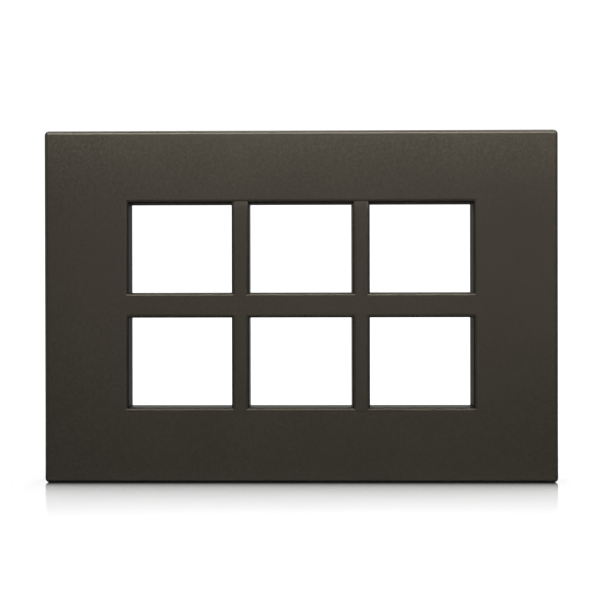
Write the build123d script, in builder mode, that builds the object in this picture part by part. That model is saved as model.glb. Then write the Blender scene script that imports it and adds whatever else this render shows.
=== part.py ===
"""Clip-on cover plate for a wall switch grid, one moulded piece with two rows of three windows.

Frame in millimetres: the origin is the middle of the plate on the wall plane, +X runs to the right
seen from the front, +Z runs up, and the front face looks along -Y. A height is a distance from the
wall plane towards the front, so a point at height h lies at y = -h.
"""
from build123d import *
from math import radians, tan
import os

os.makedirs("parts", exist_ok=True)

# Plate
plate_width = 220.0
plate_height = 151.0
plate_depth = 10.5
face_wall = 2.4
skirt_wall = 2.0
outer_edge_radius = 1.9

# Windows, each as wide as two switch modules; the draft in degrees opens them towards the face
column_count = 3
row_count = 2
window_width = 44.0
window_height = 38.2
upright_bar_width = 7.8
cross_bar_width = 11.0
window_rise = 0.6
window_edge_radius = 1.7
mould_draft = 1.2

# Collars behind the windows, which end short of the wall plane
collar_wall = 1.4
collar_recess = 1.0

# How far the upright bars lie behind the face, and how far and along what length their heads fall back
bar_setback = 0.04
head_setback = 0.55
head_fall_length = 6.0

# Stiffening ribs under the face, and the marks that the ejector pins leave there
rib_wall = 1.2
rib_height = 2.4
ejector_columns = 4
ejector_rows = 2
ejector_radius = 2.5
ejector_depth = 0.2

# Snap hooks that catch the edge of the grid frame
hook_width = 9.0
hook_wall = 1.5
hook_standoff = 3.0
hook_nose = 0.9
hook_lead = 1.2
hook_land = 0.5
hook_recess = 1.0

# Notch in the lower skirt where a screwdriver lifts the cover off
pry_width = 12.0
pry_height = 1.8

# Window pattern
column_pitch = window_width + upright_bar_width
row_pitch = window_height + cross_bar_width
block_width = column_count * column_pitch - upright_bar_width
block_height = row_count * row_pitch - cross_bar_width
column_places = [(i - (column_count - 1) / 2) * column_pitch for i in range(column_count)]
row_places = [window_rise + (i - (row_count - 1) / 2) * row_pitch for i in range(row_count)]
upright_places = [(left + right) / 2 for left, right in zip(column_places, column_places[1:])]
cross_places = [(low + high) / 2 for low, high in zip(row_places, row_places[1:])]
front_spread = 2 * (plate_depth - collar_recess) * tan(radians(mould_draft))

# Inside of the shell
face_underside = plate_depth - face_wall
inside_width = plate_width - 2 * skirt_wall
inside_height = plate_height - 2 * skirt_wall
rail_span = (inside_height + block_height) / 2 + collar_wall
side_span = (inside_width + block_width) / 2 + collar_wall

# Hooks stand in line with the window edges along the top and bottom, and with the cross bar at the sides
hook_columns = [column_places[0] - column_pitch / 2, *upright_places, column_places[-1] + column_pitch / 2]
hook_places = [((x, 0, side * inside_height / 2), (0, 0, -side)) for side in (1, -1) for x in hook_columns]
hook_places += [((side * inside_width / 2, 0, z), (-side, 0, 0)) for side in (1, -1) for z in cross_places]
hook_catch = hook_recess + hook_lead + hook_land
hook_face = hook_standoff + hook_wall

# An upright bar is a channel with leaning sides and rounded long edges, and its face falls back at its head
bar_length = block_height + 2 * collar_wall
bar_foot = window_rise - bar_length / 2
bar_head = window_rise + bar_length / 2
with BuildPart() as upright_bar:
    with BuildSketch(Plane.YZ):
        with BuildLine():
            bar_face = Line(
                (bar_setback - plate_depth, bar_foot), (bar_setback - plate_depth, bar_head - head_fall_length)
            )
            head_fall = TangentArc(
                bar_face @ 1, (head_setback - plate_depth, bar_head), tangent=bar_face % 1
            )
            Polyline(
                head_fall @ 1, (-collar_recess, bar_head), (-collar_recess, bar_foot), bar_face @ 0
            )
        make_face()
    extrude(amount=upright_bar_width / 2, both=True)
    draft(upright_bar.faces().filter_by(Axis.X), Plane.XZ.offset(collar_recess), mould_draft)
    side_edges = upright_bar.edges().filter_by(Axis.X, reverse=True)
    fillet(side_edges.filter_by_position(Axis.Y, -plate_depth, -face_underside), window_edge_radius)
    with BuildSketch(Plane.XZ.offset(collar_recess)):
        with Locations((0, window_rise)):
            Rectangle(upright_bar_width - 2 * collar_wall, bar_length)
    extrude(amount=face_underside - collar_recess, mode=Mode.SUBTRACT)

with BuildPart() as cover_plate:
    # Outer block
    with BuildSketch(Plane.XZ):
        Rectangle(plate_width, plate_height)
    extrude(amount=plate_depth)

    # One long opening for each row, with leaning walls and a rounded front edge
    with BuildSketch(Plane.XZ.offset(plate_depth)):
        with Locations([(0, z) for z in row_places]):
            Rectangle(block_width + front_spread, window_height + front_spread)
    extrude(amount=-plate_depth, taper=mould_draft, mode=Mode.SUBTRACT)
    front_face = cover_plate.faces().sort_by(Axis.Y)[0]
    fillet([e for wire in front_face.inner_wires() for e in wire.edges()], window_edge_radius)

    # Rounded corners and a rounded outer front edge
    front_face = cover_plate.faces().sort_by(Axis.Y)[0]
    fillet(cover_plate.edges().filter_by(Axis.Y) + front_face.outer_wire().edges(), outer_edge_radius)

    # Hollow behind the face, which leaves the skirt and a block for the collars at each window
    with BuildSketch(Plane.XZ):
        Rectangle(inside_width, inside_height)
        with Locations([(x, z) for x in column_places for z in row_places]):
            Rectangle(
                window_width + 2 * collar_wall, window_height + 2 * collar_wall, mode=Mode.SUBTRACT
            )
    extrude(amount=face_underside, mode=Mode.SUBTRACT)
    with BuildSketch(Plane.XZ):
        Rectangle(inside_width, inside_height)
    extrude(amount=collar_recess, mode=Mode.SUBTRACT)

    # Upright bars, which part each row into its windows
    with Locations([(x, 0, 0) for x in upright_places]):
        add(upright_bar.part)

    # Round ejector marks in the underside of the rails
    with BuildSketch(Plane.XZ.offset(face_underside)):
        with GridLocations(side_span / (ejector_columns - 1), rail_span, ejector_columns, ejector_rows):
            Circle(ejector_radius)
    extrude(amount=ejector_depth, mode=Mode.SUBTRACT)

    # Low ribs from the middle of the outer collars to the skirt
    with BuildSketch(Plane.XZ.offset(face_underside)):
        with Locations([(x, 0) for x in column_places]):
            Rectangle(rib_wall, inside_height)
        with Locations([(0, z) for z in row_places]):
            Rectangle(inside_width, rib_wall)
        with Locations((0, window_rise)):
            Rectangle(block_width + collar_wall, block_height + collar_wall, mode=Mode.SUBTRACT)
    extrude(amount=-rib_height)

    # Snap hooks, drawn with x inward from the skirt and y towards the wall plane
    for place, inward in hook_places:
        with BuildSketch(Plane(place, x_dir=inward, z_dir=Vector(inward).cross(Vector(0, 1, 0)))):
            with BuildLine():
                Polyline(
                    (hook_standoff, -face_underside),
                    (hook_standoff, -hook_recess),
                    (hook_face, -hook_recess),
                    (hook_face + hook_nose, -hook_recess - hook_lead),
                    (hook_face + hook_nose, -hook_catch),
                    (hook_face, -hook_catch),
                    (hook_face, -face_underside),
                    close=True,
                )
            make_face()
        extrude(amount=hook_width / 2, both=True)

    # Pry notch
    with BuildSketch(Plane.XZ):
        with Locations((0, (skirt_wall - plate_height) / 2)):
            Rectangle(pry_width, skirt_wall)
    extrude(amount=pry_height, mode=Mode.SUBTRACT)

cover_plate.part.label = "cover_plate"
export_step(cover_plate.part, "parts/cover_plate.step")
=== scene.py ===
"""Switch cover plate in a white studio: satin metallic paint over dark plastic, seen from the front.

Metres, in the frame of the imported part: +X to the right seen from the front, +Z up, front face towards -Y.
"""
import math

import bpy
from mathutils import Matrix, Vector


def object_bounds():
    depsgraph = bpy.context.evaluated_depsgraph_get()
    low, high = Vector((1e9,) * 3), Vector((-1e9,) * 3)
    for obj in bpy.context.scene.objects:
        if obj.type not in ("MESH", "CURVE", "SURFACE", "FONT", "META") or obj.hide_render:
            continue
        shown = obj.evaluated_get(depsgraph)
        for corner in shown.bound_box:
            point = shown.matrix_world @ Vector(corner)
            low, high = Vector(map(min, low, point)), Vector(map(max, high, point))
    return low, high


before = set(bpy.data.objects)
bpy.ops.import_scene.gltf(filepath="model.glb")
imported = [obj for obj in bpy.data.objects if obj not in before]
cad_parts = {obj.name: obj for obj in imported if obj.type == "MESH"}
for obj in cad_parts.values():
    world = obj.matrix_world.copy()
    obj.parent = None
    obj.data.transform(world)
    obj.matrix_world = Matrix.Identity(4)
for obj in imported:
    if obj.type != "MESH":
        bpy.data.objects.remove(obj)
cad_low, cad_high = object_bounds()

# Camera, at the photograph's viewing angle
CAMERA_PLACE = (0.00358, -0.40515, 0.00367)
CAMERA_YAW = math.radians(0.568)
CAMERA_PITCH = math.radians(-0.128)
CAMERA_ROLL = math.radians(0.113)
CAMERA_LENS = 55.43
CAMERA_SENSOR = 36.0

# Soft lamps: place, aim, width, height and radiance
LAMPS = {
    "top_strip": ((0.05, -0.107, 0.1625), (0.05, 0.0, 0.06), 0.50, 0.04, 20.5),
    "upper_box": ((0.07, -0.50, 0.25), (0.07, 0.0, 0.00), 0.80, 0.12, 3.0),
    "front_box": ((0.07, -0.52, 0.00), (0.07, 0.0, 0.00), 0.80, 0.12, 2.4),
    "rear_strip": ((0.04, 0.06, 0.34), (0.04, 0.0, 0.06), 0.70, 0.10, 11.0),
    "left_fill": ((-0.50, -0.12, 0.10), (-0.10, 0.0, 0.00), 0.30, 0.40, 1.1),
    "right_fill": ((0.55, -0.12, 0.10), (0.10, 0.0, 0.00), 0.30, 0.40, 0.8),
    "back_fill": ((0.00, 0.75, 0.45), (0.00, 0.0, 0.00), 0.90, 0.50, 4.0),
}

# Studio round the plate, white in view but dim as light, and a little brighter behind the camera
STUDIO_COLOUR = (1.0, 1.0, 1.0)
STUDIO_SHOWN = 1.0
STUDIO_DIM = 0.024
STUDIO_FRONT = 0.04
STUDIO_FALLOFF = 2.0

# White sweep: a floor under the plate, a round cove and a backdrop
FLOOR_LEVEL = cad_low.z
FLOOR_HALF_WIDTH = 3.0
FLOOR_FRONT = -3.0
BACKDROP_PLACE = 0.9
BACKDROP_HEIGHT = 2.4
COVE_RADIUS = 0.35
COVE_STEPS = 12
FLOOR_ALBEDO = 0.20

# White of the sweep in view, dimmer near the plate's foot as a painted shade round it, and the distances from
# the foot between which it rises
FOOT_GLOW = 0.71
FULL_GLOW = 1.0
GLOW_FADE = (0.03, 0.22)

# Share of the white that reflections show in front of the plate, and the depths between which it falls
FRONT_SHARE = 0.56
FRONT_FADE = (0.04, -0.02)

# Gloss of the floor at the plate's foot: shares of the mirror image and the reach at which each fades
MIRROR_SHARES = ((0.46, 0.006), (0.52, 0.045))
MIRROR_ROUGHNESS = 0.08

# Metallic paint
PAINT_COLOUR = (0.0342, 0.0304, 0.0236)
PAINT_METAL = 0.85
PAINT_ROUGHNESS = 0.40
SPECULAR_LEVEL = 0.3
SPECULAR_TINT = (0.25, 0.25, 0.25)
COAT_SHARE = 0.18
COAT_ROUGHNESS = 0.2

# Flakes in the paint, its orange peel and its soft clouds
FLAKE_SCALE = 1600.0
FLAKE_TILT = 0.08
FLAKE_MIDDLE = (0.5, 0.5, 0.5)
FLAKE_SHARE = 0.03
PEEL_SCALE = 240.0
PEEL_DETAIL = 1.0
PEEL_BUMP = 0.00002
CLOUD_SCALE = 28.0
CLOUD_DETAIL = 3.0
CLOUD_RANGE = (0.2, 0.8)
CLOUD_SHARE = 0.04

# Bare plastic behind the paint
PLASTIC_COLOUR = (0.022, 0.0205, 0.019)
PLASTIC_ROUGHNESS = 0.55
SHEEN_RANGE = (0.3, 0.7)
SHEEN_CHANGE = 0.12

# Painted shade on edges that face sideways or down and on the bar heads: a darker colour, and a rougher
# finish there
SHADED_EDGE_COLOUR = (0.014, 0.0130, 0.0116)
EDGE_ROUGHNESS = 0.9
HEAD_SHADE = 0.3
DOWNWARD_SHADE = 0.6

# Where the masks of the paint start and end, by place
SKIN_RADIUS = 0.0019
SKIN_FADE = (0.7 * SKIN_RADIUS, 0.85 * SKIN_RADIUS)
SPRAY_DEPTH = (0.007, 0.0105)
INNER_FADE = (-0.008, -0.012)
BOTTOM_FADE = (cad_low.z + 0.004, cad_low.z + 0.002)

# Where they start and end by how far a surface faces forward, which is 1 on the face and 0 on a wall
SPRAY_FACING = (0.005, 0.015)
WINDOW_EDGE_FACING = (0.85, 0.45)
BOTTOM_EDGE_FACING = (0.985, 0.85)
OFF_WALL_FACING = (0.12, 0.42)
HEAD_FACING = (0.96, 0.985)
POLISH_FROM_WALL = (0.3, 0.6)
POLISH_FROM_FACE = (0.985, 0.94)
FLAKE_FACING = (0.5, 0.9)

# Where they start and end by how far a surface looks up
DOWNWARD = (-0.15, -0.45)
NOT_UPWARD = (0.45, 0.05)
HEAD_LEAN = (0.01, 0.05)

# Smooth shading: points nearer than this are joined, and edges sharper than this stay sharp
WELD_DISTANCE = 1e-6
CREASE_ANGLE = math.radians(20)
FACE_WEIGHT = 100


class Nodes:
    """Small helper that adds nodes to a tree and links them."""

    def __init__(self, tree):
        self.tree = tree
        tree.nodes.clear()

    def add(self, kind, inputs=None, **settings):
        node = self.tree.nodes.new(kind)
        for name, value in settings.items():
            setattr(node, name, value)
        for key, value in (inputs or {}).items():
            self.set(node.inputs[key], value)
        return node

    def set(self, socket, value):
        if isinstance(value, bpy.types.NodeSocket):
            self.tree.links.new(value, socket)
        else:
            socket.default_value = value

    def math(self, operation, *values):
        node = self.add("ShaderNodeMath", operation=operation)
        for socket, value in zip(node.inputs, values):
            self.set(socket, value)
        return node.outputs[0]

    def vector(self, operation, inputs):
        return self.add("ShaderNodeVectorMath", inputs, operation=operation).outputs[0]

    def ramp(self, value, start, end, low=0.0, high=1.0):
        node = self.add(
            "ShaderNodeMapRange",
            {"Value": value, "From Min": start, "From Max": end, "To Min": low, "To Max": high},
            interpolation_type="SMOOTHSTEP",
        )
        return node.outputs[0]

    def length(self, first, second):
        squares = [self.math("MULTIPLY", side, side) for side in (first, second)]
        return self.math("SQRT", self.math("ADD", *squares))

    def mix(self, factor, first, second):
        node = self.add("ShaderNodeMix", data_type="RGBA")
        self.set(node.inputs["Factor"], factor)
        self.set(node.inputs["A"], first)
        self.set(node.inputs["B"], second)
        return node.outputs["Result"]


def rgba(colour):
    return (*colour, 1.0)


def smooth_shading(plate):
    """Joins the solid's faces for shading and blends the normals of its rounded edges into the flats."""
    group = bpy.data.node_groups.new("smooth_by_angle", "GeometryNodeTree")
    group.interface.new_socket("Geometry", in_out="INPUT", socket_type="NodeSocketGeometry")
    group.interface.new_socket("Geometry", in_out="OUTPUT", socket_type="NodeSocketGeometry")
    nodes = Nodes(group)
    start = nodes.add("NodeGroupInput")
    faces = nodes.add("GeometryNodeSetShadeSmooth", domain="FACE")
    edges = nodes.add("GeometryNodeSetShadeSmooth", domain="EDGE")
    angle = nodes.add("GeometryNodeInputMeshEdgeAngle")
    gentle = nodes.math("LESS_THAN", angle.outputs[0], CREASE_ANGLE)
    end = nodes.add("NodeGroupOutput")
    nodes.set(faces.inputs["Geometry"], start.outputs[0])
    nodes.set(edges.inputs["Geometry"], faces.outputs[0])
    nodes.set(edges.inputs["Shade Smooth"], gentle)
    nodes.set(end.inputs[0], edges.outputs[0])

    weld = plate.modifiers.new("weld", "WELD")
    weld.merge_threshold = WELD_DISTANCE
    plate.modifiers.new("smooth", "NODES").node_group = group
    weighted = plate.modifiers.new("normals", "WEIGHTED_NORMAL")
    weighted.keep_sharp = True
    weighted.weight = FACE_WEIGHT


def painted_mask(nodes, facing, depth, from_side, from_end):
    """The spray reaches the front, the outer skin and the front part of the window walls."""
    beyond = [nodes.math("ADD", edge, SKIN_RADIUS) for edge in (from_side, from_end)]
    reach = nodes.length(*[nodes.math("MAXIMUM", side, 0.0) for side in beyond])
    skin = nodes.ramp(reach, *SKIN_FADE)
    forward = nodes.ramp(facing, *SPRAY_FACING)
    sprayed = nodes.math("MULTIPLY", forward, nodes.ramp(depth, *SPRAY_DEPTH, 1.0, 0.0))
    return nodes.math("MAXIMUM", sprayed, skin)


def shaded_edge_mask(nodes, facing, upward, height, inner):
    """Painted shade on the window edges and the bottom edge where they face sideways or down, and on the
    heads of the upright bars.
    """
    window_edge = nodes.math("MULTIPLY", nodes.ramp(facing, *WINDOW_EDGE_FACING), inner)
    bottom = nodes.ramp(height, *BOTTOM_FADE)
    bottom_edge = nodes.math("MULTIPLY", nodes.ramp(facing, *BOTTOM_EDGE_FACING), bottom)
    rounded = nodes.math("MAXIMUM", window_edge, bottom_edge)

    # Edges that look up, and side walls, get no painted shade
    off_wall = nodes.ramp(facing, *OFF_WALL_FACING)
    down = nodes.ramp(upward, *DOWNWARD, 0.0, DOWNWARD_SHADE)
    not_up = nodes.ramp(upward, *NOT_UPWARD)
    away_from_light = nodes.math("MULTIPLY", not_up, nodes.math("MAXIMUM", off_wall, down))
    edges = nodes.math("MULTIPLY", rounded, away_from_light)

    # Painted shade on the heads, which lean back under the rail
    leaning = nodes.ramp(upward, *HEAD_LEAN, 0.0, HEAD_SHADE)
    heads = nodes.math("MULTIPLY", leaning, nodes.ramp(facing, *HEAD_FACING))
    return nodes.math("MAXIMUM", edges, nodes.math("MULTIPLY", heads, inner))


def polished_mask(nodes, facing, edge_shade, inner):
    """Handling has polished the outer edges."""
    off_wall = nodes.ramp(facing, *POLISH_FROM_WALL)
    off_face = nodes.ramp(facing, *POLISH_FROM_FACE, 0.0, COAT_SHARE)
    turned = nodes.math("MULTIPLY", off_wall, off_face)
    outer = nodes.math("SUBTRACT", 1.0, nodes.math("MAXIMUM", edge_shade, inner))
    return nodes.math("MULTIPLY", turned, outer)


def paint_masks(nodes):
    """Masks for the paint, for painted shade on edges, for polished edges and for the flakes that show."""
    coordinates = nodes.add("ShaderNodeTexCoord")
    place = nodes.add("ShaderNodeSeparateXYZ", {0: coordinates.outputs["Object"]})
    normal = nodes.add("ShaderNodeSeparateXYZ", {0: coordinates.outputs["Normal"]})
    facing = nodes.math("MULTIPLY", normal.outputs["Y"], -1.0)
    depth = nodes.math("SUBTRACT", place.outputs["Y"], cad_low.y)
    from_side = nodes.math("SUBTRACT", nodes.math("ABSOLUTE", place.outputs["X"]), cad_high.x)
    from_end = nodes.math("SUBTRACT", nodes.math("ABSOLUTE", place.outputs["Z"]), cad_high.z)
    inner = nodes.ramp(nodes.math("MAXIMUM", from_side, from_end), *INNER_FADE)

    painted = painted_mask(nodes, facing, depth, from_side, from_end)
    edge_shade = shaded_edge_mask(nodes, facing, normal.outputs["Z"], place.outputs["Z"], inner)
    polished = polished_mask(nodes, facing, edge_shade, inner)
    flaked = nodes.ramp(facing, *FLAKE_FACING)
    return painted, edge_shade, polished, flaked


def paint_normal(nodes, place, flakes, flaked):
    """Orange peel over the whole cover, and flakes that each lean their own way."""
    peel = nodes.add("ShaderNodeTexNoise", {"Vector": place, "Scale": PEEL_SCALE, "Detail": PEEL_DETAIL})
    bump = nodes.add("ShaderNodeBump", {"Height": peel.outputs["Fac"], "Distance": PEEL_BUMP})
    lean = nodes.vector("SUBTRACT", {0: flakes, 1: FLAKE_MIDDLE})
    tilt = nodes.vector("SCALE", {0: lean, "Scale": nodes.math("MULTIPLY", flaked, FLAKE_TILT)})
    return nodes.vector("NORMALIZE", {0: nodes.vector("ADD", {0: bump.outputs[0], 1: tilt})})


def cover_material():
    """Metallic paint with fine flakes over dark plastic, which shows inside, and painted shade on the edges.
    """
    material = bpy.data.materials.new("painted_cover")
    material.use_nodes = True
    nodes = Nodes(material.node_tree)
    painted, edge_shade, polished, flaked = paint_masks(nodes)
    place = nodes.add("ShaderNodeTexCoord").outputs["Object"]
    flakes = nodes.add("ShaderNodeTexVoronoi", {"Vector": place, "Scale": FLAKE_SCALE}).outputs["Color"]
    cloud = nodes.add("ShaderNodeTexNoise", {"Vector": place, "Scale": CLOUD_SCALE, "Detail": CLOUD_DETAIL})
    cloud = cloud.outputs["Fac"]

    # Colours
    shade = nodes.math(
        "MULTIPLY",
        nodes.ramp(cloud, *CLOUD_RANGE, 1.0 - CLOUD_SHARE, 1.0 + CLOUD_SHARE),
        nodes.ramp(flakes, 0.0, 1.0, 1.0 - FLAKE_SHARE, 1.0 + FLAKE_SHARE),
    )
    paint = nodes.vector("SCALE", {0: PAINT_COLOUR, "Scale": shade})
    # Painted shade: edges that face sideways or down, the bottom edge and the bar heads take a darker colour
    paint = nodes.mix(edge_shade, paint, rgba(SHADED_EDGE_COLOUR))
    plastic = nodes.vector("SCALE", {0: PLASTIC_COLOUR, "Scale": shade})

    # Sheen
    matt = nodes.ramp(cloud, *SHEEN_RANGE, PLASTIC_ROUGHNESS - SHEEN_CHANGE, PLASTIC_ROUGHNESS + SHEEN_CHANGE)
    satin = nodes.ramp(painted, 0.0, 1.0, matt, PAINT_ROUGHNESS)
    rough = nodes.math("MULTIPLY", edge_shade, nodes.math("SUBTRACT", EDGE_ROUGHNESS, satin))

    shader = nodes.add(
        "ShaderNodeBsdfPrincipled",
        {
            "Base Color": nodes.mix(painted, plastic, paint),
            "Metallic": nodes.math("MULTIPLY", painted, PAINT_METAL),
            "Roughness": nodes.math("ADD", satin, rough),
            "Specular IOR Level": SPECULAR_LEVEL,
            "Specular Tint": rgba(SPECULAR_TINT),
            "Coat Weight": polished,
            "Coat Roughness": COAT_ROUGHNESS,
            "Normal": paint_normal(nodes, place, flakes, flaked),
        },
    )
    nodes.add("ShaderNodeOutputMaterial", {"Surface": shader.outputs[0]})
    return material


def sweep_material():
    """White paper that glows in view, with a mirror image of the plate that fades away from its foot."""
    material = bpy.data.materials.new("white_sweep")
    material.use_nodes = True
    nodes = Nodes(material.node_tree)
    place = nodes.add("ShaderNodeSeparateXYZ", {0: nodes.add("ShaderNodeTexCoord").outputs["Object"]})
    across = nodes.math("ABSOLUTE", place.outputs["X"])
    depth = place.outputs["Y"]

    # Distance from the plate's foot
    front = nodes.math("SUBTRACT", cad_low.y, depth)
    behind = nodes.math("SUBTRACT", depth, cad_high.y)
    ahead = nodes.math("MAXIMUM", nodes.math("MAXIMUM", front, behind), 0.0)
    beside = nodes.math("MAXIMUM", nodes.math("SUBTRACT", across, cad_high.x), 0.0)
    away = nodes.length(ahead, beside)

    # White in view, and less white where the face reflects the floor in front
    # Painted shade round the plate's foot: the sweep glows less near it
    glow = nodes.ramp(away, *GLOW_FADE, FOOT_GLOW, FULL_GLOW)
    path = nodes.add("ShaderNodeLightPath")
    reflected = nodes.math("MAXIMUM", path.outputs["Is Glossy Ray"], path.outputs["Is Transmission Ray"])
    shown = nodes.math("MAXIMUM", path.outputs["Is Camera Ray"], reflected)
    front_loss = nodes.ramp(depth, *FRONT_FADE, 0.0, 1.0 - FRONT_SHARE)
    share = nodes.math("SUBTRACT", 1.0, nodes.math("MULTIPLY", front_loss, reflected))
    white = nodes.add("ShaderNodeBsdfDiffuse", {"Color": nodes.math("MULTIPLY", share, FLOOR_ALBEDO)})
    strength = nodes.math("MULTIPLY", nodes.math("MULTIPLY", glow, shown), share)
    light = nodes.add("ShaderNodeEmission", {"Strength": strength})
    paper = nodes.add("ShaderNodeAddShader", {0: white.outputs[0], 1: light.outputs[0]})

    # Mirror image of the plate
    fades = [
        nodes.math("MULTIPLY", nodes.math("EXPONENT", nodes.math("DIVIDE", away, -reach)), gloss)
        for gloss, reach in MIRROR_SHARES
    ]
    mirror = nodes.add("ShaderNodeBsdfGlossy", {"Roughness": MIRROR_ROUGHNESS})
    surface = nodes.add(
        "ShaderNodeMixShader", {0: nodes.math("ADD", *fades), 1: paper.outputs[0], 2: mirror.outputs[0]}
    )
    nodes.add("ShaderNodeOutputMaterial", {"Surface": surface.outputs[0]})
    return material


def white_sweep():
    """One strip of paper: a floor, a round cove and an upright backdrop."""
    line = [(FLOOR_FRONT, FLOOR_LEVEL)]
    for step in range(COVE_STEPS + 1):
        turn = math.pi / 2 * step / COVE_STEPS
        line.append((
            BACKDROP_PLACE - COVE_RADIUS + COVE_RADIUS * math.sin(turn),
            FLOOR_LEVEL + COVE_RADIUS - COVE_RADIUS * math.cos(turn),
        ))
    line.append((BACKDROP_PLACE, FLOOR_LEVEL + BACKDROP_HEIGHT))
    points = [(x, y, z) for y, z in line for x in (-FLOOR_HALF_WIDTH, FLOOR_HALF_WIDTH)]
    faces = [(2 * i, 2 * i + 1, 2 * i + 3, 2 * i + 2) for i in range(len(line) - 1)]
    mesh = bpy.data.meshes.new("white_sweep")
    mesh.from_pydata(points, [], faces)
    mesh.shade_smooth()
    mesh.materials.append(sweep_material())
    sweep = bpy.data.objects.new("white_sweep", mesh)
    bpy.context.scene.collection.objects.link(sweep)


def studio():
    """World that is white in view and gives a dim light, mostly from behind the camera."""
    world = bpy.data.worlds.new("studio")
    bpy.context.scene.world = world
    world.use_nodes = True
    nodes = Nodes(world.node_tree)
    way = nodes.add("ShaderNodeSeparateXYZ", {0: nodes.add("ShaderNodeTexCoord").outputs["Generated"]})
    forward = nodes.math("MULTIPLY", way.outputs["Y"], -1.0)
    front = nodes.math("POWER", nodes.math("MAXIMUM", forward, 0.0), STUDIO_FALLOFF)
    level = nodes.math("ADD", nodes.math("MULTIPLY", front, STUDIO_FRONT), STUDIO_DIM)
    in_view = nodes.add("ShaderNodeLightPath").outputs["Is Camera Ray"]
    strength = nodes.ramp(in_view, 0.0, 1.0, level, STUDIO_SHOWN)
    background = nodes.add("ShaderNodeBackground", {"Color": rgba(STUDIO_COLOUR), "Strength": strength})
    nodes.add("ShaderNodeOutputWorld", {"Surface": background.outputs[0]})


def soft_light(name, place, aim, width, height, radiance):
    """One soft box or strip, which the camera doesn't see."""
    light = bpy.data.lights.new(name, "AREA")
    light.shape = "RECTANGLE"
    light.size = width
    light.size_y = height
    light.energy = radiance * math.pi * width * height
    lamp = bpy.data.objects.new(name, light)
    lamp.visible_camera = False
    lamp.location = place
    lamp.rotation_mode = "QUATERNION"
    lamp.rotation_quaternion = (Vector(aim) - Vector(place)).to_track_quat("-Z", "Y")
    bpy.context.scene.collection.objects.link(lamp)


def photo_camera():
    """Camera in front of the plate, turned a little as in the photograph."""
    data = bpy.data.cameras.new("camera")
    data.lens = CAMERA_LENS
    data.sensor_width = CAMERA_SENSOR
    camera = bpy.data.objects.new("camera", data)
    camera.matrix_world = (
        Matrix.Translation(CAMERA_PLACE)
        @ Matrix.Rotation(CAMERA_YAW, 4, "Z")
        @ Matrix.Rotation(CAMERA_PITCH, 4, "X")
        @ Matrix.Rotation(CAMERA_ROLL, 4, "Y")
        @ Matrix.Rotation(math.pi / 2, 4, "X")
    )
    bpy.context.scene.collection.objects.link(camera)
    bpy.context.scene.camera = camera


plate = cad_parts["cover_plate"]
smooth_shading(plate)
plate.material_slots[0].material = cover_material()
white_sweep()
studio()
for name, values in LAMPS.items():
    soft_light(name, *values)
photo_camera()
bpy.context.scene.view_settings.view_transform = "Standard"
